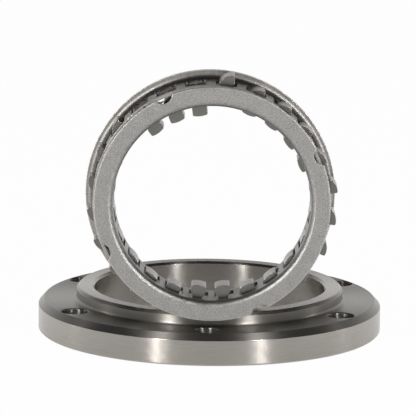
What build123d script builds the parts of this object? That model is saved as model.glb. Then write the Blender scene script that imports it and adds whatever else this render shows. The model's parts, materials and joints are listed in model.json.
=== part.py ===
from build123d import *
import math
import os

os.makedirs("parts", exist_ok=True)

# Clutch housing: a flanged outer race, origin on its axis at the underside
race_bore = 60.5
collar_wall = 4.75
collar_rise = 3.35
collar_chamfer = 0.8
collar_root_fillet = 0.8
bore_chamfer = 0.6
flange_overhang = 10.0
flange_thickness = 8.2
rim_chamfer_width = 1.5
rim_chamfer_depth = 1.65
foot_chamfer = 0.4
bolt_hole = 6.6
bolt_countersink = 0.3
bolt_inset = 0.25
bolt_count = 6
bolt_start_angle = 29.0

# Sprags: they fill the space between the race and the hub that runs inside them
sprag_height = 8.2
sprag_race_clearance = 0.08
sprag_count = 24
first_sprag_angle = 7.7
sprag_length = 6.5
sprag_head_width = 3.8
sprag_head_height = 2.1
sprag_waist_step = 0.65
outer_cam_radius = 4.9
inner_cam_radius = 6.0
cam_corner_fillet = 0.4
waist_fillet = 0.6

# Drawn sheet cages: the outer one runs inside the race, the inner one inside the outer one
race_clearance = 0.75
cage_spacing = 2.8
cage_band = 3.15
window_end_clearance = 0.95
window_corner_fillet = 0.5
outer_cage_sheet = 0.8
outer_cage_setback = 1.3
outer_window_clearance = 0.8
rear_flange_height = 2.35
outer_bend_radius = 1.4
inner_cage_sheet = 0.9
inner_cage_setback = 1.2
inner_window_clearance = 0.55
inner_bend_radius = 0.7
plate_overhang = 0.47
notch_count = 4
notch_start_angle = 24.7
notch_radius = 2.45
notch_centre_outside_rim = 0.8
notch_mouth_fillet = 0.4

# Ribbon spring threaded on the sprags between the two cages
ribbon_thickness = 0.25
ribbon_inner_clearance = 1.1
ribbon_outer_clearance = 1.0
ribbon_window_clearance = 0.55
ribbon_end_clearance = 0.45
ribbon_rail = 1.0

# How the loose ring stands on the collar's front wall
stand_gap = 0.3
ring_behind_wall_middle = -1.05
outer_cage_sideways = -0.15
plate_sideways = 0.5
plate_drop = 0.45

# How far each loose sprag lies from its place between the races, outwards positive
hanging_out = 1.95
flung_out = 2.15
held_out = 0.8
eased_out = 0.5
dropped_in = -1.2
pressed_in = -1.0
sprag_rest = (
    [hanging_out]
    + [held_out] * 4
    + [flung_out]
    + [dropped_in] * 3
    + [eased_out] * 5
    + [pressed_in] * 7
    + [eased_out]
    + [hanging_out] * 2
)
flung_out_lean = 7.0

# Radii that follow, from the race outwards and inwards
race_radius = race_bore / 2
collar_radius = race_radius + collar_wall
flange_radius = collar_radius + flange_overhang
bolt_circle_radius = collar_radius + flange_overhang / 2 - bolt_inset
housing_height = flange_thickness + collar_rise
outer_cage_radius = race_radius - race_clearance
rear_flange_radius = outer_cage_radius + rear_flange_height
plate_radius = outer_cage_radius + plate_overhang
pivot_radius = outer_cage_radius - outer_cage_sheet / 2
inner_cage_outside = outer_cage_radius - outer_cage_sheet - cage_spacing
inner_cage_radius = inner_cage_outside - inner_cage_sheet
ribbon_radius = inner_cage_outside + ribbon_inner_clearance
ribbon_arch_height = cage_spacing - ribbon_inner_clearance - ribbon_thickness - ribbon_outer_clearance
sprag_middle_radius = race_radius - sprag_race_clearance - sprag_height / 2

# Widths and lengths that follow
window_length = sprag_length + 2 * window_end_clearance
outer_window_width = sprag_head_width + 2 * outer_window_clearance
inner_window_width = sprag_head_width + 2 * inner_window_clearance
ribbon_window_length = sprag_length + 2 * ribbon_end_clearance
ribbon_window_width = sprag_head_width + 2 * ribbon_window_clearance
ribbon_length = ribbon_window_length + 2 * ribbon_rail
ring_width = window_length + 2 * cage_band
pitch_angle = 360 / sprag_count
sprag_angles = [first_sprag_angle + pitch_angle * number for number in range(sprag_count)]

# Places that follow: the ring's axis lies level and points at the viewer
forward = Vector(0, -1, 0)
ring_middle_y = -(collar_radius + race_radius) / 2 + ring_behind_wall_middle
outer_centre = Vector(outer_cage_sideways, ring_middle_y, housing_height + stand_gap + outer_cage_radius)
inner_centre = outer_centre + Vector(plate_sideways, 0, -plate_drop)
middle_centre = (outer_centre + inner_centre) / 2


def radial(angle):
    """Unit vector square to the ring's axis, counter-clockwise from +X as the viewer sees it."""
    return Vector(math.cos(math.radians(angle)), 0, math.sin(math.radians(angle)))


def face_plane(centre):
    """Plane square to the ring's axis, its normal towards the viewer."""
    return Plane(origin=centre, x_dir=(1, 0, 0), z_dir=forward)


def section_plane(centre):
    """Plane through the ring's axis, with x as radius and y as distance towards the viewer."""
    return Plane(origin=centre, x_dir=(1, 0, 0), z_dir=(0, 0, -1))


def window_planes(centre, radius):
    """One plane for each sprag, square to the radius, at the given distance from the axis."""
    return [
        Plane(origin=centre + radial(angle) * radius, x_dir=forward, z_dir=radial(angle))
        for angle in sprag_angles
    ]


def sheet_section(bore, lip, lip_face, plain_edge, sheet, bend):
    """Section of a drawn cage: a tube of sheet, bent outwards to a lip at one end."""
    inward = -1 if lip_face > plain_edge else 1
    outside = bend + sheet
    centre = (bore + outside, lip_face + inward * outside)
    start, turn = (90, 90) if inward < 0 else (270, -90)
    Line((lip, lip_face), (centre[0], lip_face))
    CenterArc(centre, outside, start, turn)
    Line((bore, centre[1]), (bore, plain_edge))
    Line((bore, plain_edge), (bore + sheet, plain_edge))
    Line((bore + sheet, plain_edge), (bore + sheet, centre[1]))
    CenterArc(centre, bend, start + turn, -turn)
    Line((centre[0], lip_face + inward * sheet), (lip, lip_face + inward * sheet))
    Line((lip, lip_face + inward * sheet), (lip, lip_face))


# Clutch housing
with BuildPart() as clutch_housing:
    with BuildSketch(Plane.XY):
        Circle(flange_radius)
    extrude(amount=flange_thickness)
    flange_top = clutch_housing.faces().sort_by(Axis.Z)[-1].edges()
    flange_foot = clutch_housing.faces().sort_by(Axis.Z)[0].edges()
    chamfer(flange_top, rim_chamfer_depth, rim_chamfer_width)
    chamfer(flange_foot, foot_chamfer)
    with BuildSketch(Plane.XY.offset(flange_thickness)):
        Circle(collar_radius)
    extrude(amount=collar_rise)
    chamfer(clutch_housing.edges().group_by(Axis.Z)[-1], collar_chamfer)
    collar_root = (
        clutch_housing.edges()
        .filter_by(GeomType.CIRCLE)
        .filter_by_position(Axis.Z, flange_thickness, flange_thickness)
        .sort_by(SortBy.RADIUS)[0]
    )
    fillet(collar_root, collar_root_fillet)
    with Locations(Plane.XY.offset(housing_height)):
        CounterSinkHole(race_radius, race_radius + bore_chamfer)
    bore_foot = clutch_housing.faces().sort_by(Axis.Z)[0].inner_wires().edges()
    chamfer(bore_foot, bore_chamfer)
    with Locations(Plane.XY.offset(flange_thickness)):
        with PolarLocations(bolt_circle_radius, bolt_count, start_angle=bolt_start_angle):
            CounterSinkHole(bolt_hole / 2, bolt_hole / 2 + bolt_countersink)
clutch_housing.part.label = "clutch_housing"
export_step(clutch_housing.part, "parts/clutch_housing.step")

# Outer cage: its lip is the large rear flange, its windows take the sprags' outer heads
with BuildPart() as outer_cage:
    with BuildSketch(section_plane(outer_centre)):
        with BuildLine():
            sheet_section(
                bore=outer_cage_radius - outer_cage_sheet,
                lip=rear_flange_radius,
                lip_face=-ring_width / 2,
                plain_edge=ring_width / 2 - outer_cage_setback,
                sheet=outer_cage_sheet,
                bend=outer_bend_radius,
            )
        make_face()
    revolve(axis=Axis(outer_centre, forward))
    with BuildSketch(*window_planes(outer_centre, outer_cage_radius - 2 * outer_cage_sheet)):
        RectangleRounded(window_length, outer_window_width, window_corner_fillet)
    extrude(amount=3 * outer_cage_sheet, mode=Mode.SUBTRACT)
outer_cage.part.label = "outer_cage"
export_step(outer_cage.part, "parts/outer_cage.step")

# Inner cage: its lip is the flat front plate with four half-round notches in the rim
with BuildPart() as inner_cage:
    with BuildSketch(section_plane(inner_centre)):
        with BuildLine():
            sheet_section(
                bore=inner_cage_radius,
                lip=plate_radius,
                lip_face=ring_width / 2,
                plain_edge=-ring_width / 2 + inner_cage_setback,
                sheet=inner_cage_sheet,
                bend=inner_bend_radius,
            )
        make_face()
    revolve(axis=Axis(inner_centre, forward))
    with BuildSketch(*window_planes(inner_centre, inner_cage_radius - inner_cage_sheet)):
        RectangleRounded(window_length, inner_window_width, window_corner_fillet)
    extrude(amount=3 * inner_cage_sheet, mode=Mode.SUBTRACT)
    with BuildSketch(face_plane(inner_centre).offset(ring_width / 2)):
        with PolarLocations(plate_radius + notch_centre_outside_rim, notch_count, start_angle=notch_start_angle):
            Circle(notch_radius)
    extrude(amount=-inner_cage_sheet, mode=Mode.SUBTRACT)
    notch_mouths = (
        inner_cage.edges()
        .filter_by(Axis.Y)
        .filter_by(lambda edge: (edge.center() - inner_centre).cross(forward).length > plate_radius - notch_mouth_fillet)
    )
    fillet(notch_mouths, notch_mouth_fillet)
inner_cage.part.label = "inner_cage"
export_step(inner_cage.part, "parts/inner_cage.step")

# Ribbon spring: a thin strip, arched between its windows so that it stretches round the ring
window_half_angle = math.degrees(ribbon_window_width / 2 / ribbon_radius)


def ribbon_outline(radius):
    """Closed outline of the strip, plain across each window and arched over each crossbar."""
    for number in range(sprag_count):
        middle = first_sprag_angle + pitch_angle * number
        arch = middle + pitch_angle / 2
        corners = [middle - window_half_angle, middle + window_half_angle, middle + pitch_angle - window_half_angle]
        points = [Vector(radius, 0).rotate(Axis.Z, corner) for corner in corners]
        crown = Vector(radius + ribbon_arch_height, 0).rotate(Axis.Z, arch)
        ThreePointArc(points[0], Vector(radius, 0).rotate(Axis.Z, middle), points[1])
        ThreePointArc(points[1], crown, points[2])


with BuildPart() as ribbon_spring:
    with BuildSketch(face_plane(middle_centre)):
        with BuildLine():
            ribbon_outline(ribbon_radius + ribbon_thickness)
        make_face()
        with BuildLine():
            ribbon_outline(ribbon_radius)
        make_face(mode=Mode.SUBTRACT)
    extrude(amount=ribbon_length / 2, both=True)
    with BuildSketch(*window_planes(middle_centre, ribbon_radius - ribbon_thickness)):
        RectangleRounded(ribbon_window_length, ribbon_window_width, window_corner_fillet)
    extrude(amount=2 * ribbon_thickness + ribbon_arch_height, mode=Mode.SUBTRACT)
ribbon_spring.part.label = "ribbon_spring"
export_step(ribbon_spring.part, "parts/ribbon_spring.step")


def sprag_outline():
    """Sprag section with y outwards: a fin-shaped outer cam, a waist and a flatter inner cam."""
    side = sprag_head_width / 2
    waist = side - sprag_waist_step
    top = sprag_height / 2
    shoulder = top - sprag_head_height
    slope = sprag_waist_step
    outer_start = top - outer_cam_radius + math.sqrt(outer_cam_radius**2 - (side + waist) ** 2)
    inner_end = -top + inner_cam_radius - math.sqrt(inner_cam_radius**2 - side**2)
    ThreePointArc(
        (-side, outer_start),
        (0, top - outer_cam_radius + math.sqrt(outer_cam_radius**2 - waist**2)),
        (side, top - outer_cam_radius + math.sqrt(outer_cam_radius**2 - slope**2)),
    )
    Polyline(
        (side, top - outer_cam_radius + math.sqrt(outer_cam_radius**2 - slope**2)),
        (side, shoulder),
        (waist, shoulder - slope),
        (waist, -shoulder + slope),
        (side, -shoulder),
        (side, inner_end),
    )
    ThreePointArc((side, inner_end), (0, -top), (-side, inner_end))
    Polyline(
        (-side, inner_end),
        (-side, -shoulder),
        (-waist, -shoulder + slope),
        (-waist, shoulder - slope),
        (-side, shoulder),
        (-side, outer_start),
    )


# Sprags, each in its own node, numbered counter-clockwise from the viewer's right
for number, angle in enumerate(sprag_angles):
    lean = flung_out_lean if sprag_rest[number] == flung_out else 0
    pivot = middle_centre + radial(angle) * pivot_radius
    outwards = radial(angle + lean)
    middle = pivot + outwards * (sprag_middle_radius + sprag_rest[number] - pivot_radius)
    with BuildPart() as sprag:
        with BuildSketch(Plane(origin=middle, x_dir=outwards.cross(forward), z_dir=forward)):
            with BuildLine():
                sprag_outline()
            make_face()
        extrude(amount=sprag_length / 2, both=True)
        side_edges = sprag.edges().filter_by(Axis.Y)
        cam_corners = side_edges.sort_by_distance(middle)[-4:]
        waist_corners = side_edges.sort_by_distance(middle)[:4]
        fillet(cam_corners, cam_corner_fillet)
        fillet(waist_corners, waist_fillet)
    sprag.part.label = f"sprag_{number + 1:02d}"
    export_step(sprag.part, f"parts/sprag_{number + 1:02d}.step")
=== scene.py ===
"""The look of a starter clutch: a flanged steel housing and the sprag ring that stands on its collar.

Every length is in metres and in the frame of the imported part. The ring's axis is level and points
at the viewer, so places on the ring are given by a radius, an angle and a distance ahead of its middle.
"""
import json
import logging
import math
from dataclasses import dataclass, field
from enum import Enum
from typing import NamedTuple, Optional, Sequence

import bmesh
import bpy
from mathutils import Matrix, Vector


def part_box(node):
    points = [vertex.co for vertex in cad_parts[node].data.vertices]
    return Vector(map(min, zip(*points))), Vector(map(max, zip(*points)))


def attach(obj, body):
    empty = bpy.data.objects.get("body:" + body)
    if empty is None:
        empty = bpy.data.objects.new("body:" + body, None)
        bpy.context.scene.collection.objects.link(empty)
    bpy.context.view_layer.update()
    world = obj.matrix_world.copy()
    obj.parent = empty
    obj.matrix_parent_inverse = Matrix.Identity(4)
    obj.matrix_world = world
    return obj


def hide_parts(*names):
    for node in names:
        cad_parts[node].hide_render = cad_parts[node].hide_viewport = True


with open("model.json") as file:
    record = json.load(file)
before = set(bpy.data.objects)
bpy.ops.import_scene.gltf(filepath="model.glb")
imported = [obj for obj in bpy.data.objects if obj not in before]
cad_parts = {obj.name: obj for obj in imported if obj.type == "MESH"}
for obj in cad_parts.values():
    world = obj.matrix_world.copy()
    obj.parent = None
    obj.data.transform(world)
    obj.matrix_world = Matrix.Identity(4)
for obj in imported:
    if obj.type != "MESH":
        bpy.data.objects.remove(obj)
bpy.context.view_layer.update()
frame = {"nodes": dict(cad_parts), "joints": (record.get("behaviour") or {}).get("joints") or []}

log = logging.getLogger("starter_clutch")

MM = 0.001
SAME_LEVEL = 0.001 * MM
WELD_DISTANCE = 0.004 * MM
PITCHES = 24
PITCH = 360 / PITCHES
COLUMNS = 28
ARC_STEPS = 4
TOWARDS_VIEWER = Vector((0, -1, 0))
UP = Vector((0, 0, 1))

Point = tuple[float, float]
Place = tuple[float, float, float]
Piece = bpy.types.Object
Socket = bpy.types.NodeSocket


# Meshes


class Draft:
    """Points and faces of a mesh while it is drawn up."""

    def __init__(self) -> None:
        """Starts with no points and no faces."""
        self.points: list[Vector] = []
        self.faces: list[list[int]] = []

    def loop(self, points: Sequence[Vector]) -> list[int]:
        """Adds a row of points.

        Args:
            points: The points in order.

        Returns:
            Their numbers in the draft.
        """
        start = len(self.points)
        self.points.extend(points)
        return list(range(start, start + len(points)))

    def strip(self, first: Sequence[int], second: Sequence[int], closed: bool = False) -> None:
        """Joins two rows of the same length with a strip of four-sided faces.

        Args:
            first: Numbers of the points of one row.
            second: Numbers of the points of the other row.
            closed: True if the rows are rings.
        """
        count = len(first)
        for here in range(count if closed else count - 1):
            ahead = (here + 1) % count
            self.faces.append([first[here], first[ahead], second[ahead], second[here]])

    def as_object(self, name: str) -> Piece:
        """Makes a Blender object of the draft.

        Args:
            name: The object's name.

        Returns:
            The object, linked into the scene.
        """
        mesh = bpy.data.meshes.new(name)
        mesh.from_pydata(self.points, [], self.faces)
        mesh.update()
        made = bpy.data.objects.new(name, mesh)
        bpy.context.scene.collection.objects.link(made)
        return made


def rounded(corners: Sequence[Point], radii: Sequence[float]) -> list[Point]:
    """Rounds the corners of a closed outline.

    Args:
        corners: The outline's corners in order.
        radii: One radius for each corner, where 0 keeps it sharp.

    Returns:
        The points of the rounded outline.
    """
    made: list[Point] = []
    for number, (corner, radius) in enumerate(zip(corners, radii)):
        here = Vector(corner)
        if not radius:
            made.append(tuple(here))
            continue
        back = (Vector(corners[number - 1]) - here).normalized()
        on = (Vector(corners[(number + 1) % len(corners)]) - here).normalized()
        half = back.angle(on) / 2
        centre = here + (back + on).normalized() * (radius / math.sin(half))
        start, end = (here + side * (radius / math.tan(half)) - centre for side in (back, on))
        turn = math.atan2(start.y, start.x)
        sweep = (math.atan2(end.y, end.x) - turn + math.pi) % math.tau - math.pi
        for step in range(ARC_STEPS + 1):
            now = turn + sweep * step / ARC_STEPS
            made.append((centre.x + radius * math.cos(now), centre.y + radius * math.sin(now)))
    return made


def window_outline(half: Point, corner: float, across: int, along: int) -> list[Point]:
    """Outline of a window with round corners, walked from its lower left corner to the right and on.

    Args:
        half: Half the window's width and half its length.
        corner: Radius of its corners.
        across: Points along each short walk.
        along: Points along each long walk.

    Returns:
        Twice as many points as across and along together.
    """
    width, length = half[0] - corner, half[1] - corner
    starts = [(-width, -length), (width, -length), (width, length), (-width, length)]
    before = ARC_STEPS // 2
    made: list[Point] = []
    for side in range(4):
        here, there = starts[side], starts[(side + 1) % 4]
        count = along if side % 2 else across
        out = math.radians(90 * side - 90)
        for step in range(count):
            part = min(max((step - before) / (count - ARC_STEPS), 0.0), 1.0)
            bend = min(step - before, 0) + max(step - count + before, 0)
            turn = out + math.radians(90 / ARC_STEPS) * bend
            x, y = (a + (b - a) * part for a, b in zip(here, there))
            made.append((x + corner * math.cos(turn), y + corner * math.sin(turn)))
    return made


def keep_result(made: Piece) -> None:
    """Replaces an object's mesh with what its modifiers make of it, and removes them.

    Args:
        made: The object.
    """
    depsgraph = bpy.context.evaluated_depsgraph_get()
    mesh = bpy.data.meshes.new_from_object(made.evaluated_get(depsgraph), depsgraph=depsgraph)
    made.modifiers.clear()
    old = made.data
    made.data = mesh
    mesh.name = made.name
    bpy.data.meshes.remove(old)


def round_edges(made: Piece, width: float, segments: int = 2, sharp_from: float = 35) -> None:
    """Turns the faces outwards, breaks the sharp edges and smooths the shading.

    Args:
        made: The object to finish.
        width: How far the rounding reaches from each edge, or 0 where the edges are drawn round.
        segments: Faces across the rounding.
        sharp_from: Edges that turn by more than this many degrees are rounded.
    """
    shell = bmesh.new()
    shell.from_mesh(made.data)
    bmesh.ops.recalc_face_normals(shell, faces=shell.faces)
    for face in shell.faces:
        face.smooth = True
    shell.to_mesh(made.data)
    shell.free()
    if width:
        bevel = made.modifiers.new("edges", "BEVEL")
        bevel.width = width
        bevel.segments = segments
        bevel.limit_method = "ANGLE"
        bevel.angle_limit = math.radians(sharp_from)
        bevel.use_clamp_overlap = True
    weighted = made.modifiers.new("normals", "WEIGHTED_NORMAL")
    weighted.weight = 60
    weighted.keep_sharp = True
    keep_result(made)


# Node trees


class Ramp(NamedTuple):
    """A value that goes from start to end while what it depends on goes from low to high."""

    low: float
    high: float
    start: float
    end: float = 1.0


class Graph:
    """Short calls for building a node tree."""

    def __init__(self, tree: bpy.types.NodeTree) -> None:
        """Takes the tree that the calls add to."""
        self.tree = tree

    def node(self, kind: str, sockets: Optional[dict] = None, **settings: object) -> bpy.types.Node:
        """Adds a node.

        Args:
            kind: The node's type.
            sockets: Values or sockets for its inputs, by name or number.
            settings: The node's own settings.

        Returns:
            The node.
        """
        made = self.tree.nodes.new(kind)
        for name, value in settings.items():
            setattr(made, name, value)
        for name, value in (sockets or {}).items():
            if isinstance(value, Socket):
                self.tree.links.new(value, made.inputs[name])
            else:
                made.inputs[name].default_value = value
        return made

    def out(self, kind: str, sockets: Optional[dict] = None, **settings: object) -> Socket:
        """Adds a node and gives its first output."""
        return self.node(kind, sockets, **settings).outputs[0]

    def maths(self, operation: str, first: object, second: object = 0.0, third: object = 0.0) -> Socket:
        """Works out one operation on up to three values or sockets."""
        return self.out("ShaderNodeMath", {0: first, 1: second, 2: third}, operation=operation)

    def times(self, first: object, second: object) -> Socket:
        """Multiplies two values or sockets."""
        return self.maths("MULTIPLY", first, second)

    def larger(self, first: object, second: object) -> Socket:
        """Takes the larger of two values or sockets."""
        return self.maths("MAXIMUM", first, second)

    def join(self, x: object, y: object, z: object = 0.0) -> Socket:
        """Makes a vector of values or sockets."""
        return self.out("ShaderNodeCombineXYZ", {0: x, 1: y, 2: z})

    def axes(self, vector: Socket) -> Sequence[Socket]:
        """Takes a vector apart."""
        return self.node("ShaderNodeSeparateXYZ", {0: vector}).outputs

    def length(self, vector: Socket) -> Socket:
        """Measures a vector."""
        return self.node("ShaderNodeVectorMath", {0: vector}, operation="LENGTH").outputs["Value"]

    def ramp(self, value: Socket, ramp: Ramp) -> Socket:
        """Maps a value by a ramp, whose ends it doesn't leave."""
        names = ("From Min", "From Max", "To Min", "To Max")
        return self.out("ShaderNodeMapRange", {"Value": value, **dict(zip(names, ramp))})

    def spread(self, noise: Socket, low: float, high: float) -> Socket:
        """Maps the middle of a noise to a range."""
        return self.ramp(noise, Ramp(0.3, 0.7, low, high))

    def noise(self, place: Socket, scale: float, detail: float, roughness: float) -> Socket:
        """Adds a noise, about one half on average, at a scale in waves for each metre."""
        sockets = {"Vector": place, "Scale": scale, "Detail": detail, "Roughness": roughness}
        return self.out("ShaderNodeTexNoise", sockets)


def blank_graph(owner: bpy.types.ID) -> Graph:
    """Empties the node tree of a material or a world.

    Args:
        owner: The material or world.

    Returns:
        The graph of its tree.
    """
    owner.use_nodes = True
    owner.node_tree.nodes.clear()
    return Graph(owner.node_tree)


class PieceTree:
    """Geometry Nodes that are run on a piece and leave it a plain mesh with its material."""

    def __init__(self, name: str, kinds: dict[str, str]) -> None:
        """Starts the tree with its named inputs.

        Args:
            name: The tree's name.
            kinds: The kind of each input besides the geometry and the material, by its name.
        """
        self.tree = bpy.data.node_groups.new(name, "GeometryNodeTree")
        face = self.tree.interface
        self.inputs = {
            label: face.new_socket(label, in_out="INPUT", socket_type=f"NodeSocket{kind}").identifier
            for label, kind in {"Geometry": "Geometry", **kinds, "Material": "Material"}.items()
        }
        face.new_socket("Geometry", in_out="OUTPUT", socket_type="NodeSocketGeometry")
        self.graph = Graph(self.tree)
        self.given = self.graph.node("NodeGroupInput").outputs

    def copies(self, points: Socket, piece: Socket, axis: object, angle: Socket) -> Socket:
        """Puts turned copies on points and makes them real.

        Args:
            points: Where the copies go.
            piece: What is copied.
            axis: The direction about which they turn.
            angle: How far each turns.

        Returns:
            The copies' geometry.
        """
        turn = self.graph.out("FunctionNodeAxisAngleToRotation", {"Axis": axis, "Angle": angle})
        sockets = {"Points": points, "Instance": piece, "Rotation": turn}
        placed = self.graph.out("GeometryNodeInstanceOnPoints", sockets)
        return self.graph.out("GeometryNodeRealizeInstances", {"Geometry": placed})

    def end(self, geometry: Socket) -> None:
        """Ends the tree by setting the material."""
        sockets = {"Geometry": geometry, "Material": self.given["Material"]}
        self.graph.node("NodeGroupOutput", {"Geometry": self.graph.out("GeometryNodeSetMaterial", sockets)})

    def run(self, made: Piece, values: dict[str, object]) -> None:
        """Runs the tree on an object and keeps the result as its plain mesh.

        Args:
            made: The object.
            values: Values for the tree's inputs, by their names.
        """
        modifier = made.modifiers.new("nodes", "NODES")
        modifier.node_group = self.tree
        for label, value in values.items():
            modifier[self.inputs[label]] = value
        keep_result(made)


class RepeatTree(PieceTree):
    """Repeats one pitch of a piece round an axis and welds the copies together."""

    def __init__(self) -> None:
        """Builds the tree."""
        sizes = {"Copies": "Int", "Centre": "Vector", "Axis": "Vector", "Weld distance": "Float"}
        super().__init__("repeat_round_an_axis", {**sizes, "Ring to join": "Object"})
        graph, given = self.graph, self.given
        points = graph.out("GeometryNodePoints", {"Count": given["Copies"], "Position": given["Centre"]})
        back = graph.out("ShaderNodeVectorMath", {0: given["Centre"], "Scale": -1.0}, operation="SCALE")
        at_axis = graph.out("GeometryNodeTransform", {"Geometry": given["Geometry"], "Translation": back})
        part = graph.maths("DIVIDE", graph.out("GeometryNodeInputIndex"), given["Copies"])
        copies = self.copies(points, at_axis, given["Axis"], graph.times(part, math.tau))
        both = graph.node("GeometryNodeJoinGeometry", {"Geometry": copies})
        ring = graph.node("GeometryNodeObjectInfo", {"Object": given["Ring to join"]})
        self.tree.links.new(ring.outputs["Geometry"], both.inputs["Geometry"])
        weld = {"Geometry": both.outputs[0], "Distance": given["Weld distance"]}
        self.end(graph.out("GeometryNodeMergeByDistance", weld))


class PlaceTree(PieceTree):
    """Turns one sprag to its station in the ring."""

    def __init__(self) -> None:
        """Builds the tree."""
        super().__init__("sprag_station", {"Middle": "Vector", "Turn": "Float"})
        point = self.graph.out("GeometryNodePoints", {"Count": 1, "Position": self.given["Middle"]})
        self.end(self.copies(point, self.given["Geometry"], tuple(TOWARDS_VIEWER), self.given["Turn"]))


# Finishes


class Lay(Enum):
    """Which way the fine marks of a finish run."""

    TURNED = "in rings round the part's own axis"
    BRUSHED = "outwards from the ring's axis"
    TUMBLED = "no way, an even speckle"


@dataclass(frozen=True)
class SteelFinish:
    """A bare steel surface, by what was done to it last.

    Its radii are measured from an axis through the centre, upright where the lay is turned and else
    towards the viewer. Turned faces come with turned_roughness, and their painted shade with
    turned_painted_shade. Painted highlights on edges and rim come with edge_highlight, and painted shade
    on the root of a bend with shaded_root_from. A face is an edge if it turns away from the viewer by more
    than flat_from, a cosine. The drift is how many marks a turned line moves up in a turn of one radian.
    """

    name: str
    lay: Lay
    colour: Place
    roughness: float
    mark_size: float
    shade: float
    fleck: float
    mark_depth: float = 0.0
    broad_waves: float = 0.15
    brushed_radius: float = 30 * MM
    brushed_stretch: float = 0.06
    turned_drift: float = 6
    anisotropy: float = 0.0
    quarter_turn: float = 0.25
    turned_roughness: float = 0.0
    turned_painted_shade: float = 0.35
    turned_outside: float = 34.4 * MM
    turned_above: float = 6.6 * MM
    edge_highlight: float = 0.0
    flat_from: float = 0.97
    bright_edges_from: float = 0.0
    bright_rim_from: float = 1.0
    rim_share: float = 0.6
    shaded_root_from: float = 0.0
    root_behind: float = 4.95 * MM
    root_flatness: float = 2.4
    root_fade: Ramp = Ramp(0.5 * MM, 4.5 * MM, 0.35)
    centre: Place = (0.0, 0.0, 0.0)

    def material(self) -> bpy.types.Material:
        """Builds the finish.

        Returns:
            The material.
        """
        made = bpy.data.materials.new(self.name)
        made.diffuse_color = (*self.colour, 1.0)
        graph = blank_graph(made)
        place = graph.node("ShaderNodeTexCoord").outputs["Object"]
        radius, turn, along = self._round_axis(graph, place)
        broad = graph.noise(place, self.broad_waves / self.mark_size, detail=3.0, roughness=0.5)
        fine = self._marks(graph, place, radius, turn, along)
        tone = graph.spread(broad, 1 - self.shade, 1 + self.shade)
        strength = graph.times(tone, graph.spread(fine, 1 - self.fleck, 1 + self.fleck))
        rough = graph.spread(broad, self.roughness * 0.9, self.roughness * 1.1)
        # The turned faces are rougher from turning, and their colour is darkened as painted shade.
        if self.turned_roughness:
            left_turned = self._left_turned(graph, radius, along)
            rough = graph.out("ShaderNodeMix", {0: left_turned, 2: rough, 3: self.turned_roughness})
            darker = graph.maths("MULTIPLY_ADD", left_turned, -self.turned_painted_shade, 1.0)
            strength = graph.times(strength, darker)
        # painted shade: the root of the rear bend is darkened
        if self.shaded_root_from:
            strength = graph.times(strength, self._painted_root_shade(graph, radius, along))
        # painted highlights on edges that turn away from the viewer and on the rim
        if self.edge_highlight:
            strength = graph.times(strength, self._painted_edge_highlight(graph, radius))
        colour = graph.out("ShaderNodeVectorMath", {0: self.colour, "Scale": strength}, operation="SCALE")
        sockets = {"Base Color": colour, "Metallic": 1.0, "Roughness": rough, "Anisotropic": self.anisotropy}
        if self.mark_depth:
            bump = {"Height": fine, "Distance": self.mark_depth, "Strength": 1.0}
            sockets["Normal"] = graph.out("ShaderNodeBump", bump)
        if self.lay is Lay.TURNED:
            sockets["Anisotropic Rotation"] = self.quarter_turn
            sockets["Tangent"] = graph.out("ShaderNodeTangent", direction_type="RADIAL", axis="Z")
        shader = graph.out("ShaderNodeBsdfPrincipled", sockets)
        graph.node("ShaderNodeOutputMaterial", {"Surface": shader})
        log.info("finish %s: %s", self.name, self.lay.value)
        return made

    def _round_axis(self, graph: Graph, place: Socket) -> tuple[Socket, Socket, Socket]:
        """Measures a place against the finish's axis.

        Args:
            graph: The material's tree.
            place: Object coordinates.

        Returns:
            The distance from the axis, the turn about it and the distance along it.
        """
        shifted = graph.out("ShaderNodeVectorMath", {0: place, 1: self.centre}, operation="SUBTRACT")
        x, y, z = graph.axes(shifted)
        side, along = (y, z) if self.lay is Lay.TURNED else (z, y)
        return graph.length(graph.join(x, side)), graph.maths("ARCTAN2", side, x), along

    def _marks(self, graph: Graph, place: Socket, radius: Socket, turn: Socket, along: Socket) -> Socket:
        """Makes the fine marks of the finish.

        Args:
            graph: The material's tree.
            place: Object coordinates.
            radius: Distance from the axis.
            turn: Turn about the axis.
            along: Distance along the axis.

        Returns:
            The marks, about one half on average.
        """
        if self.lay is Lay.TUMBLED:
            return graph.noise(place, 1 / self.mark_size, detail=3.0, roughness=0.65)
        if self.lay is Lay.TURNED:
            lines = graph.join(radius, along, graph.times(turn, self.turned_drift * self.mark_size))
        else:
            slow = [graph.times(value, self.brushed_stretch) for value in (radius, along)]
            lines = graph.join(graph.times(turn, self.brushed_radius), *slow)
        return graph.noise(lines, 1 / self.mark_size, detail=2.0, roughness=0.6)

    def _left_turned(self, graph: Graph, radius: Socket, along: Socket) -> Socket:
        """Gives 1 on the faces left turned, the flange's top and the collar's wall, and 0 elsewhere."""
        outside = graph.maths("GREATER_THAN", radius, self.turned_outside)
        return graph.times(outside, graph.maths("GREATER_THAN", along, self.turned_above))

    def _painted_edge_highlight(self, graph: Graph, radius: Socket) -> Socket:
        """Paints highlights on the edges of flat faces and on the outermost rim.

        Args:
            graph: The material's tree.
            radius: Distance from the axis.

        Returns:
            More than 1 on those edges and 1 elsewhere.
        """
        facing = graph.axes(graph.node("ShaderNodeNewGeometry").outputs["Normal"])[1]
        edge = graph.maths("LESS_THAN", graph.maths("ABSOLUTE", facing), self.flat_from)
        outside = graph.maths("GREATER_THAN", radius, self.bright_edges_from)
        rim = graph.times(graph.maths("GREATER_THAN", radius, self.bright_rim_from), self.rim_share)
        return graph.maths("MULTIPLY_ADD", graph.larger(graph.times(edge, outside), rim), self.edge_highlight, 1.0)

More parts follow.
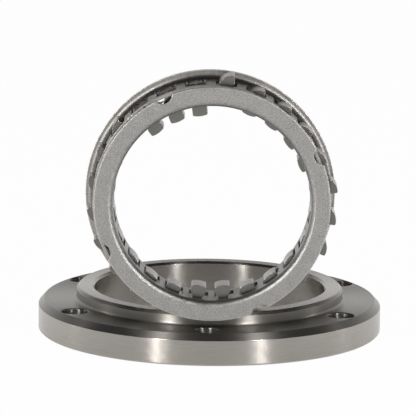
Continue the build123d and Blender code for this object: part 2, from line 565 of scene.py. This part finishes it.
    def _painted_root_shade(self, graph: Graph, radius: Socket, along: Socket) -> Socket:
        """Paints shade on the root of the rear bend, darkening it.

        Args:
            graph: The material's tree.
            radius: Distance from the axis.
            along: Distance along the axis.

        Returns:
            1 away from the root and less near it.
        """
        out = graph.times(graph.maths("SUBTRACT", radius, self.shaded_root_from), self.root_flatness)
        behind = graph.maths("SUBTRACT", along, self.root_behind)
        return graph.ramp(graph.length(graph.join(out, behind)), self.root_fade)


# The flanged housing


@dataclass
class Housing:
    """The outer race: a flange with six bolt holes and a collar round the bore."""

    race_radius: float = 30.25 * MM
    collar_radius: float = 35.0 * MM
    flange_radius: float = 45.0 * MM
    flange_thickness: float = 8.2 * MM
    height: float = 11.55 * MM
    bore_chamfer: float = 0.6 * MM
    collar_chamfer: float = 0.8 * MM
    root_fillet: float = 0.8 * MM
    rim_chamfer_width: float = 1.5 * MM
    rim_chamfer_depth: float = 1.65 * MM
    foot_chamfer: float = 0.4 * MM
    bolt_circle_radius: float = 39.75 * MM
    bolt_radius: float = 3.3 * MM
    countersink: float = 0.3 * MM
    first_bolt_angle: float = 29.0
    bolts: int = 6
    edge_round: float = 0.12 * MM
    columns: int = 80
    hole_columns: int = 12
    name: str = "flanged_housing"

    def section(self) -> list[Point]:
        """Half section of the turned body, as radius and height.

        Returns:
            The closed outline, from the foot of the bore round to the underside.
        """
        inner, outer, top = self.race_radius, self.flange_radius, self.height
        corners = [
            (inner + self.bore_chamfer, 0),
            (inner, self.bore_chamfer),
            (inner, top - self.bore_chamfer),
            (inner + self.bore_chamfer, top),
            (self.collar_radius - self.collar_chamfer, top),
            (self.collar_radius, top - self.collar_chamfer),
            (self.collar_radius, self.flange_thickness),
            (outer - self.rim_chamfer_width, self.flange_thickness),
            (outer, self.flange_thickness - self.rim_chamfer_depth),
            (outer, self.foot_chamfer),
            (outer - self.foot_chamfer, 0),
        ]
        return rounded(corners, [self.edge_round] * 6 + [self.root_fillet] + [self.edge_round] * 4)

    def build(self, repeat: RepeatTree, finish: SteelFinish) -> None:
        """Makes the housing and dresses it.

        Args:
            repeat: The tree that repeats the sector of one bolt.
            finish: Its finish.
        """
        draft = Draft()
        outline = self.section()
        sector = 360 / self.bolts
        start = self.first_bolt_angle - sector / 2
        angles = [start + sector * step / self.columns for step in range(self.columns + 1)]
        rows = []
        for radius, height in outline:
            rows.append(draft.loop([self._at(radius, angle, height) for angle in angles]))
        first = self.columns // 2 - self.hole_columns
        last = self.columns // 2 + self.hole_columns
        flats = [self._widest_flat(outline, level) for level in (self.flange_thickness, 0.0)]
        for number, row in enumerate(rows):
            following = rows[(number + 1) % len(rows)]
            if number not in flats:
                draft.strip(row, following)
                continue
            draft.strip(row[: first + 1], following[: first + 1])
            draft.strip(row[last:], following[last:])
        borders = []
        for number in flats:
            near, far = rows[number], rows[(number + 1) % len(rows)]
            borders.append(near[first : last + 1] + far[first : last + 1][::-1])
        self._bore_bolt_hole(draft, borders)
        made = draft.as_object(self.name)
        values = {"Copies": self.bolts, "Centre": (0.0, 0.0, 0.0), "Axis": tuple(UP)}
        repeat.run(made, {**values, "Weld distance": WELD_DISTANCE, "Material": finish.material()})
        round_edges(made, 0)
        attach(made, "housing")
        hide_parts("clutch_housing")
        log.info("%s: %d faces", self.name, len(made.data.polygons))

    def _at(self, radius: float, angle: float, height: float) -> Vector:
        """Point at a radius, an angle in degrees and a height."""
        turn = math.radians(angle)
        return Vector((radius * math.cos(turn), radius * math.sin(turn), height))

    def _widest_flat(self, outline: Sequence[Point], level: float) -> int:
        """Finds the widest flat face of the turned body at a height.

        Args:
            outline: The section's points.
            level: The face's height.

        Returns:
            The number of the row at which the face begins.
        """
        spans = []
        for number, here in enumerate(outline):
            there = outline[(number + 1) % len(outline)]
            if abs(here[1] - level) + abs(there[1] - level) < SAME_LEVEL:
                spans.append((abs(there[0] - here[0]), number))
        return max(spans)[1]

    def _bore_bolt_hole(self, draft: Draft, borders: Sequence[Sequence[int]]) -> None:
        """Cuts one bolt hole between the flange's two faces.

        Args:
            draft: The sector's mesh.
            borders: Numbers of the points round the gap left for the hole, on top and underneath.
        """
        upper, lower = borders
        axis = self._at(self.bolt_circle_radius, self.first_bolt_angle, 0)
        count = len(upper)
        first, second = (draft.points[number] - axis for number in upper[:2])
        start = math.atan2(first.y, first.x)
        way = 1 if math.sin(math.atan2(second.y, second.x) - start) > 0 else -1
        turns = [start + way * math.tau * step / count for step in range(count)]
        levels = [
            (self.bolt_radius + self.countersink, self.flange_thickness),
            (self.bolt_radius, self.flange_thickness - self.countersink),
            (self.bolt_radius, 0.0),
        ]
        rings = []
        for radius, height in levels:
            circle = [Vector((radius * math.cos(turn), radius * math.sin(turn), height)) for turn in turns]
            rings.append(draft.loop([axis + point for point in circle]))
        for near, far in zip(rings, rings[1:]):
            draft.strip(near, far, closed=True)
        draft.strip(upper, rings[0], closed=True)
        matches = [
            [rings[-1][(shift + way * step) % count] for step in range(count)]
            for way in (1, -1)
            for shift in range(count)
        ]
        draft.strip(lower, min(matches, key=lambda ring: self._mismatch(draft, lower, ring)), closed=True)

    def _mismatch(self, draft: Draft, border: Sequence[int], ring: Sequence[int]) -> float:
        """Total distance between the points of a border and those of a ring."""
        return sum((draft.points[a] - draft.points[b]).length for a, b in zip(border, ring))


# The sprag ring


class SheetRow(NamedTuple):
    """One row across the sheet: radius and distance ahead, on the outside and on the inside."""

    outer: Point
    inner: Point


@dataclass
class DrawnCage:
    """A cage drawn from sheet: a tube with a window for each sprag, bent outwards to a lip at one end.

    The swell is how much thicker the tube is on its inside between the windows and the lip.
    """

    name: str
    node: str
    body: str
    slot: str
    bore: float
    sheet: float
    window_half_width: float
    window_half_length: float = 4.2 * MM
    window_corner: float = 0.5 * MM
    edge_round: float = 0.07 * MM
    bend: float = 0.0
    swell: float = 0.0
    lip_ahead: bool = False
    first_angle: float = 7.7
    along: int = 12
    rings: int = 3
    tube_rows: int = 3
    bend_rows: int = 10
    lip_rows: int = 4
    low: Vector = field(init=False)
    high: Vector = field(init=False)
    centre: Vector = field(init=False)

    def __post_init__(self) -> None:
        """Reads the cage's place from its solid; the centre is on its own axis, half-way along the ring."""
        self.low, self.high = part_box(self.node)
        ahead = (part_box("outer_cage")[1].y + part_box("inner_cage")[0].y) / 2
        self.centre = Vector(((self.low.x + self.high.x) / 2, ahead, (self.low.z + self.high.z) / 2))

    @property
    def lip_radius(self) -> float:
        """Radius of the lip's rim."""
        return (self.high.x - self.low.x) / 2

    def at(self, radius: float, angle: float, ahead: float) -> Vector:
        """Point of the ring, with the angle in degrees from the right, counter-clockwise to the viewer."""
        turn = math.radians(angle)
        return self.centre + Vector((radius * math.cos(turn), -ahead, radius * math.sin(turn)))

    def angles(self, count: int) -> list[float]:
        """Angles of columns, from the start of the first pitch."""
        return [self.first_angle + PITCH * (step / COLUMNS - 0.5) for step in range(count)]

    def build(self, repeat: RepeatTree, finish: SteelFinish) -> None:
        """Draws one pitch, repeats it, rounds the edges and puts the cage on its body.

        Args:
            repeat: The tree that repeats the pitch.
            finish: The cage's finish.
        """
        draft = Draft()
        ring = self.draw(draft)
        made = draft.as_object(self.name)
        values = {"Copies": PITCHES, "Centre": tuple(self.centre), "Axis": tuple(TOWARDS_VIEWER)}
        values |= {"Weld distance": WELD_DISTANCE, "Ring to join": ring, "Material": finish.material()}
        repeat.run(made, values)
        if ring:
            bpy.data.objects.remove(ring)
        round_edges(made, self.edge_round)
        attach(made, self.body)
        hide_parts(self.node)
        log.info("%s: %d faces", self.name, len(made.data.polygons))

    def draw(self, draft: Draft) -> Optional[Piece]:
        """Draws one pitch, and gives a ring to weld on where the cage has one."""
        rows, window, _ = self.rows()
        self.draw_pitch(draft, rows, window)

    def rows(self) -> tuple[list[SheetRow], int, int]:
        """Rows of the sheet, from the plain edge to the lip's rim.

        Returns:
            The rows, the row at which the windows start, and the row at which the bend ends.
        """
        nearest, farthest = self.centre.y - self.low.y, self.centre.y - self.high.y
        way, face, plain = (1, nearest, farthest) if self.lip_ahead else (-1, farthest, nearest)
        bore, wall = self.bore, self.bore + self.sheet
        middle, level = wall + self.bend, face - way * (self.sheet + self.bend)
        starts = -way * self.window_half_length
        made: list[SheetRow] = []
        for step in range(self.tube_rows + 1):
            ahead = plain + (starts - plain) * step / self.tube_rows
            made.append(SheetRow((wall, ahead), (bore, ahead)))
        for step in range(self.tube_rows):
            ahead = -starts + (level + starts) * step / self.tube_rows
            made.append(SheetRow((wall, ahead), (bore - self.swell * (step > 0), ahead)))
        for step in range(self.bend_rows + 1):
            turn = math.radians(90 * step / self.bend_rows)
            inside = self.bend + self.sheet + self.swell * (1 - step / self.bend_rows)
            back, rise = math.cos(turn), way * math.sin(turn)
            made.append(SheetRow(*((middle - arc * back, level + arc * rise) for arc in (self.bend, inside))))
        last_bend = len(made) - 1
        for step in range(1, self.lip_rows + 1):
            radius = middle + (self.lip_radius - middle) * step / self.lip_rows
            made.append(SheetRow((radius, face - way * self.sheet), (radius, face)))
        return made, self.tube_rows, last_bend

    def draw_pitch(self, draft: Draft, rows: Sequence[SheetRow], window: int, far_end: bool = True) -> None:
        """Draws one pitch of the cage with its window.

        Args:
            draft: The mesh to draw in.
            rows: The sheet's rows.
            window: The row at which the window starts.
            far_end: True if the last row is an edge, closed by the thickness of the sheet as the first is.
        """
        angles = self.angles(COLUMNS + 1)
        grids = []
        for side in (0, 1):
            grid = []
            for radius, ahead in (row[side] for row in rows):
                grid.append(draft.loop([self.at(radius, angle, ahead) for angle in angles]))
            for number, (near, far) in enumerate(zip(grid, grid[1:])):
                if number != window:
                    draft.strip(near, far)
            grids.append(grid)
        for end in (0, -1) if far_end else (0,):
            draft.strip(grids[0][end], grids[1][end])
        openings = [self._window(draft, grids[side], rows, window, side) for side in (0, 1)]
        draft.strip(openings[0], openings[1], closed=True)

    def _window(
        self, draft: Draft, grid: Sequence[list[int]], rows: Sequence[SheetRow], row: int, side: int
    ) -> list[int]:
        """Fills the tube round one window.

        Args:
            draft: The mesh to draw in.
            grid: Numbers of the points of this side's rows.
            rows: The sheet's rows.
            row: The row at which the window starts.
            side: 0 for the outside of the sheet, 1 for the inside.

        Returns:
            Numbers of the points round the opening.
        """
        radius, near = rows[row][side]
        far = rows[row + 1][side][1]
        angles = self.angles(COLUMNS + 1)
        sides = [near + (far - near) * step / self.along for step in range(1, self.along)]
        right = draft.loop([self.at(radius, angles[-1], ahead) for ahead in sides])
        left = draft.loop([self.at(radius, angles[0], ahead) for ahead in sides])
        previous = grid[row] + right + grid[row + 1][::-1] + left[::-1]
        places = [(angle, near) for angle in angles] + [(angles[-1], ahead) for ahead in sides]
        places += [(angle, far) for angle in angles[::-1]] + [(angles[0], ahead) for ahead in sides[::-1]]
        way = 1 if far > near else -1
        half = (self.window_half_width, self.window_half_length)
        hole = [
            (self.first_angle + math.degrees(math.asin(width / radius)), (near + far) / 2 + way * length)
            for width, length in window_outline(half, self.window_corner, COLUMNS, self.along)
        ]
        for ring in range(1, self.rings + 2):
            part = ring / (self.rings + 1)
            blend = [[a + (b - a) * part for a, b in zip(*pair)] for pair in zip(places, hole)]
            current = draft.loop([self.at(radius, angle, ahead) for angle, ahead in blend])
            draft.strip(previous, current, closed=True)
            previous = current
        return previous


@dataclass
class OuterCage(DrawnCage):
    """The outer cage, whose lip is the large flange at the rear."""

    name: str = "drawn_outer_cage"
    node: str = "outer_cage"
    body: str = "outer_cage"
    slot: str = "outer_sheet"
    bore: float = 28.95 * MM
    sheet: float = 0.8 * MM
    window_half_width: float = 2.7 * MM
    window_half_length: float = 3.75 * MM
    bend: float = 1.6 * MM
    swell: float = 0.85 * MM


@dataclass
class InnerCage(DrawnCage):
    """The inner cage, whose lip is the flat front plate with notches in its rim."""

    name: str = "notched_inner_cage"
    node: str = "inner_cage"
    body: str = "inner_cage"
    slot: str = "plate_sheet"
    bore: float = 25.0 * MM
    sheet: float = 0.9 * MM
    window_half_width: float = 2.45 * MM
    edge_round: float = 0.15 * MM
    bend: float = 0.7 * MM
    lip_ahead: bool = True
    notches: int = 4
    first_notch: float = 24.7
    notch_radius: float = 2.45 * MM
    notch_outside: float = 0.8 * MM
    plate_rows: int = 5

    def draw(self, draft: Draft) -> Optional[Piece]:
        """Draws one pitch of the tube and its bend, and the whole plate outside the bend.

        Args:
            draft: The mesh to draw the pitch in.

        Returns:
            The plate, still a separate object.
        """
        rows, window, last_bend = self.rows()
        self.draw_pitch(draft, rows[: last_bend + 1], window, far_end=False)
        plate = Draft()
        angles = self.angles(COLUMNS * PITCHES)
        edges = []
        for radius, ahead in rows[last_bend]:
            rings = []
            for step in range(self.plate_rows + 1):
                part = step / self.plate_rows
                reaches = [radius + (self.rim(angle) - radius) * part for angle in angles]
                rings.append(plate.loop([self.at(*place, ahead) for place in zip(reaches, angles)]))
            for near, far in zip(rings, rings[1:]):
                plate.strip(near, far, closed=True)
            edges.append(rings[-1])
        plate.strip(edges[0], edges[1], closed=True)
        return plate.as_object("plate_blank")

    def rim(self, angle: float) -> float:
        """Radius of the plate's rim at an angle.

        Args:
            angle: Degrees from the right.

        Returns:
            The plate's radius, or less inside a notch.
        """
        spacing = 360 / self.notches
        off = math.radians((angle - self.first_notch + spacing / 2) % spacing - spacing / 2)
        middle = self.lip_radius + self.notch_outside
        reach = self.notch_radius**2 - (middle * math.sin(off)) ** 2
        if reach <= 0:
            return self.lip_radius
        return min(self.lip_radius, middle * math.cos(off) - math.sqrt(reach))


@dataclass
class RibbonSpring(DrawnCage):
    """The thin strip between the cages, arched between its windows and without a lip."""

    name: str = "arched_ribbon"
    node: str = "ribbon_spring"
    body: str = "outer_cage"
    slot: str = "spring_steel"
    bore: float = 27.0 * MM
    sheet: float = 0.25 * MM
    window_half_width: float = 2.65 * MM
    window_half_length: float = 3.7 * MM
    edge_round: float = 0.03 * MM
    arch: float = 0.45 * MM

    def at(self, radius: float, angle: float, ahead: float) -> Vector:
        """Point of the strip, lifted over each crossbar.

        Args:
            radius: Distance from the strip's axis, before the lift.
            angle: Degrees from the right.
            ahead: Distance from the ring's middle towards the viewer.

        Returns:
            The point in the part's frame.
        """
        window = math.degrees(self.window_half_width / self.bore)
        off = abs((angle - self.first_angle + PITCH / 2) % PITCH - PITCH / 2)
        part = max(0.0, off - window) / (PITCH / 2 - window)
        return super().at(radius + self.arch * math.sin(part * math.pi / 2) ** 2, angle, ahead)

    def rows(self) -> tuple[list[SheetRow], int, int]:
        """Rows of the strip, from its rear edge to its front edge.

        Returns:
            The rows, the row at which the windows start, and the last row.
        """
        half = (self.high.y - self.low.y) / 2
        levels = (-half, -self.window_half_length, self.window_half_length, half)
        made = [SheetRow((self.bore + self.sheet, level), (self.bore, level)) for level in levels]
        return made, 1, len(made) - 1


@dataclass
class Sprag:
    """One gripping piece, drawn about the origin with its outer cam up."""

    height: float = 7.1 * MM
    half_width: float = 1.9 * MM
    waist_step: float = 0.65 * MM
    head_height: float = 2.1 * MM
    outer_cam: float = 4.0 * MM
    inner_cam: float = 6.0 * MM
    corner: float = 0.4 * MM
    waist_round: float = 0.6 * MM
    length: float = 6.5 * MM
    edge_round: float = 0.1 * MM
    cam_steps: int = 8

    def outline(self) -> list[Point]:
        """Section of the sprag, with x to the right and y outwards.

        Returns:
            The closed outline.
        """
        side, top = self.half_width, self.height / 2
        waist, shoulder = side - self.waist_step, top - self.head_height
        cam_axis, toe_axis = top - self.outer_cam, self.inner_cam - top
        cam = [(x, cam_axis + math.sqrt(self.outer_cam**2 - (x - waist) ** 2)) for x in self._spread(side)]
        toe = [(x, toe_axis - math.sqrt(self.inner_cam**2 - x**2)) for x in self._spread(-side)]
        neck = shoulder - self.waist_step
        right = [(side, shoulder), (waist, neck), (waist, -neck), (side, -shoulder)]
        left = [(-x, -y) for x, y in right]
        ends = [self.corner] + [0.0] * (self.cam_steps - 1) + [self.corner]
        waist_radii = [0.0, self.waist_round, self.waist_round, 0.0]
        return rounded(cam + right + toe + left, ends + waist_radii + ends + waist_radii)

    def _spread(self, side: float) -> list[float]:
        """Even steps across the head, from -side to side."""
        return [-side + 2 * side * step / self.cam_steps for step in range(self.cam_steps + 1)]

    def draw(self, name: str) -> Piece:
        """Draws the sprag about the origin.

        Args:
            name: The piece's name.

        Returns:
            The piece, not yet at its station.
        """
        draft = Draft()
        outline = self.outline()
        ends = (-self.length / 2, self.length / 2)
        rings = [draft.loop([Vector((x, y, z)) for x, z in outline]) for y in ends]
        draft.strip(rings[0], rings[1], closed=True)
        draft.faces += [rings[0], rings[1][::-1]]
        made = draft.as_object(name)
        round_edges(made, self.edge_round)
        return made


@dataclass
class SpragRow:
    """All sprags, each at the station at which its solid lies.

    The leans turn a sprag's station about the ring's axis, in degrees, and the play is how much further out
    than its solid's tip a sprag's tip lies.
    """

    shape: Sprag
    leans: dict[int, float]
    play: dict[int, float]

    def build(self, place: PlaceTree, finish: SteelFinish) -> None:
        """Makes one piece for each sprag.

        Args:
            place: The tree that moves a sprag to its station.
            finish: Their finish.
        """
        material = finish.material()
        joints = {joint["name"]: joint for joint in frame["joints"]}
        pivots = [Vector(joints[f"sprag_{number:02d}_rock"]["pos_m"]) for number in range(1, PITCHES + 1)]
        middle = sum(pivots, Vector()) / PITCHES
        for number, pivot in enumerate(pivots, start=1):
            node = f"sprag_{number:02d}"
            lean = math.radians(self.leans.get(number, 0.0))
            angle = math.atan2(pivot.z - middle.z, pivot.x - middle.x) + lean
            outwards = Vector((math.cos(angle), 0, math.sin(angle)))
            reaches = [(vertex.co - pivot).dot(outwards) for vertex in frame["nodes"][node].data.vertices]
            low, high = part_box(node)
            station = pivot + outwards * (max(reaches) + self.play.get(number, 0.0) - self.shape.height / 2)
            station.y = (low.y + high.y) / 2
            piece = self.shape.draw(f"grip_{number:02d}")
            place.run(piece, {"Middle": tuple(station), "Turn": angle - math.pi / 2, "Material": material})
            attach(piece, node)
            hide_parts(node)
            log.info("%s: %d faces", piece.name, len(piece.data.polygons))


# The studio


@dataclass(frozen=True)
class Lamp:
    """A soft box: where it stands, how large it is and how bright."""

    name: str
    place: Place
    size: tuple[float, float]
    power: float


@dataclass
class Studio:
    """Camera, floor, lamps and the light of the room.

    The room's ramps go by the height and the depth of the direction of the light. The mirrored ramps
    paint shade: they dim the floor's glow in what the steel reflects, by the distance from the housing's
    middle or to its side. The bore's ramp paints shadow on the floor under the housing, and goes by how
    steeply the camera looks down.
    """

    camera_place: Place = (-0.666 * MM, -1047.49 * MM, 234.59 * MM)
    elevation: float = 10.938
    roll: float = 0.69
    lens: float = 351.65
    room_overhead: Ramp = Ramp(0.2, 0.6, 1.0, 0.07)
    room_behind: Ramp = Ramp(-0.6, 0.6, 0.3, 0.8)
    floor_reach: float = 3.0
    floor_level: float = -0.05 * MM
    floor_glow: float = 0.98
    mirrored_near: Ramp = Ramp(28 * MM, 45 * MM, 0.45)
    mirrored_far: Ramp = Ramp(60 * MM, 300 * MM, 0.6)
    mirrored_aside: Ramp = Ramp(30 * MM, 80 * MM, 0.6)
    under_housing: float = 38 * MM
    seen_in_bore: Ramp = Ramp(0.25, 0.5, 0.1)
    lamps_aim: Place = (0.0, 0.0, 0.03)
    lamps: Sequence[Lamp] = (
        Lamp("left_strip", (-0.68, -1.0, 0.5), (0.1, 1.0), 9.0),
        Lamp("right_strip", (0.68, -1.0, 0.5), (0.1, 1.0), 8.0),
        Lamp("left_side_strip", (-1.18, 0.2, 0.35), (0.14, 0.7), 0.6),
        Lamp("right_side_strip", (1.18, 0.2, 0.35), (0.14, 0.7), 0.6),
    )

    def build(self) -> None:
        """Sets up everything that isn't part of the object."""
        self._camera()
        self._room()
        self._floor()
        for lamp in self.lamps:
            self._lamp(lamp)
        bpy.context.scene.view_settings.view_transform = "Standard"

    def _camera(self) -> None:
        """Puts the camera where the picture was taken from."""
        data = bpy.data.cameras.new("camera")
        data.lens = self.lens
        data.clip_start, data.clip_end = 0.05, 20.0
        camera = bpy.data.objects.new("camera", data)
        camera.location = self.camera_place
        back = Vector((0, -math.cos(math.radians(self.elevation)), math.sin(math.radians(self.elevation))))
        turn = (-back).to_track_quat("-Z", "Y").to_matrix().to_4x4()
        turn = turn @ Matrix.Rotation(math.radians(self.roll), 4, "Z")
        camera.rotation_euler = turn.to_euler()
        bpy.context.scene.collection.objects.link(camera)
        bpy.context.scene.camera = camera

    def _room(self) -> None:
        """Lights the room: white to the camera and through glass, dim overhead to everything else."""
        world = bpy.data.worlds.new("studio")
        graph = blank_graph(world)
        axes = graph.axes(graph.node("ShaderNodeTexCoord").outputs["Generated"])
        dim = graph.times(graph.ramp(axes[2], self.room_overhead), graph.ramp(axes[1], self.room_behind))
        path = graph.node("ShaderNodeLightPath").outputs
        clear = graph.larger(path["Is Camera Ray"], path["Is Transmission Ray"])
        strength = graph.out("ShaderNodeMix", {0: clear, 2: dim, 3: 1.0})
        light = graph.out("ShaderNodeBackground", {"Color": (1, 1, 1, 1), "Strength": strength})
        graph.node("ShaderNodeOutputWorld", {"Surface": light})
        bpy.context.scene.world = world

    def _floor(self) -> None:
        """Lays the floor just below the housing."""
        mesh = bpy.data.meshes.new("floor")
        sides = ((-1, -1), (1, -1), (1, 1), (-1, 1))
        corners = [(x * self.floor_reach, y * self.floor_reach, self.floor_level) for x, y in sides]
        mesh.from_pydata(corners, [], [(0, 1, 2, 3)])
        floor = bpy.data.objects.new("floor", mesh)
        bpy.context.scene.collection.objects.link(floor)
        mesh.materials.append(self._pale_floor())

    def _pale_floor(self) -> bpy.types.Material:
        """Makes the floor's material: white to the camera, dimmer in the steel and under the housing as
        painted shade, and gone from below.

        Returns:
            The material.
        """
        made = bpy.data.materials.new("pale_floor")
        graph = blank_graph(made)
        path = graph.node("ShaderNodeLightPath").outputs
        geometry = graph.node("ShaderNodeNewGeometry").outputs
        place = graph.node("ShaderNodeTexCoord").outputs["Object"]
        away = graph.length(place)
        aside = graph.maths("ABSOLUTE", graph.axes(place)[0])
        # painted shade: the floor's glow in what the steel reflects is dimmed near the housing
        beyond = graph.larger(graph.ramp(away, self.mirrored_far), graph.ramp(aside, self.mirrored_aside))
        open_floor = graph.times(graph.ramp(away, self.mirrored_near), beyond)
        mirrored = graph.times(path["Is Glossy Ray"], open_floor)
        # painted shadow: seen low, the floor under the housing loses its glow and shows dark
        steep = graph.ramp(graph.axes(geometry["Incoming"])[2], self.seen_in_bore)
        in_sight = graph.larger(graph.maths("GREATER_THAN", away, self.under_housing), steep)
        seen = graph.larger(graph.times(path["Is Camera Ray"], in_sight), mirrored)
        share = graph.times(seen, self.floor_glow)
        paper = graph.out("ShaderNodeBsdfDiffuse", {"Color": (0.9, 0.9, 0.9, 1)})
        glow = graph.out("ShaderNodeEmission", {"Color": (1, 1, 1, 1), "Strength": 1.0})
        both = graph.out("ShaderNodeMixShader", {0: share, 1: paper, 2: glow})
        gone = graph.out("ShaderNodeBsdfTransparent")
        one_sided = graph.out("ShaderNodeMixShader", {0: geometry["Backfacing"], 1: both, 2: gone})
        graph.node("ShaderNodeOutputMaterial", {"Surface": one_sided})
        return made

    def _lamp(self, lamp: Lamp) -> None:
        """Hangs one soft box, aimed at the object.

        Args:
            lamp: Its place, size and power.
        """
        data = bpy.data.lights.new(lamp.name, "AREA")
        data.shape = "RECTANGLE"
        data.size, data.size_y = lamp.size
        data.energy = lamp.power
        made = bpy.data.objects.new(lamp.name, data)
        made.location = lamp.place
        aim = Vector(self.lamps_aim) - Vector(lamp.place)
        made.rotation_euler = aim.to_track_quat("-Z", "Y").to_euler()
        bpy.context.scene.collection.objects.link(made)


def main() -> None:
    """Builds the clutch piece by piece, then the studio."""
    logging.basicConfig(level=logging.INFO, format="%(name)s: %(message)s")
    repeat, place = RepeatTree(), PlaceTree()
    # the turned faces' darker colour is painted shade
    turned_steel = SteelFinish(
        "turned_steel", Lay.TURNED, colour=(0.405, 0.382, 0.35), roughness=0.25, mark_size=0.25 * MM,
        shade=0.03, fleck=0.06, anisotropy=0.88, turned_roughness=0.35,
    )
    Housing().build(repeat, turned_steel)
    outer = OuterCage()
    # painted shade on the root of the flange's bend, and painted highlights on its edges and rim
    drawn_sheet = SteelFinish(
        "drawn_sheet", Lay.BRUSHED, colour=(0.37, 0.355, 0.335), roughness=0.4, mark_size=0.3 * MM,
        shade=0.05, fleck=0.16, edge_highlight=0.8, bright_edges_from=31.5 * MM, bright_rim_from=31.65 * MM,
        shaded_root_from=29.75 * MM, centre=tuple(outer.centre),
    )
    outer.build(repeat, drawn_sheet)
    inner = InnerCage()
    # painted highlights on the plate's edges and rim
    tumbled_sheet = SteelFinish(
        "tumbled_sheet", Lay.TUMBLED, colour=(0.355, 0.345, 0.333), roughness=0.4, mark_size=0.36 * MM,
        shade=0.03, fleck=0.34, mark_depth=0.05 * MM, edge_highlight=0.4, bright_edges_from=27.5 * MM,
        bright_rim_from=29.72 * MM, centre=tuple(inner.centre),
    )
    inner.build(repeat, tumbled_sheet)
    ribbon = RibbonSpring()
    spring_strip = SteelFinish(
        "spring_strip", Lay.BRUSHED, colour=(0.2, 0.2, 0.19), roughness=0.45, mark_size=0.2 * MM,
        shade=0.06, fleck=0.1, centre=tuple(ribbon.centre),
    )
    ribbon.build(repeat, spring_strip)
    # painted highlights on the sprags' sides, which turn away from the viewer, so their end faces stay darker
    tumbled_sprag = SteelFinish(
        "tumbled_sprag", Lay.TUMBLED, colour=(0.185, 0.177, 0.166), roughness=0.32, mark_size=0.3 * MM,
        shade=0.04, fleck=0.12, mark_depth=0.01 * MM, edge_highlight=1.2,
    )
    eased = {number: 0.9 * MM for number in (10, 11, 12, 13, 14, 22)}
    dropped = {17: 1.4 * MM, 20: 1.4 * MM} | {number: 2.1 * MM for number in (15, 16, 21)}
    SpragRow(Sprag(), leans={6: 7.0}, play=eased | dropped).build(place, tumbled_sprag)
    Studio().build()


if __name__ == "__main__":
    main()
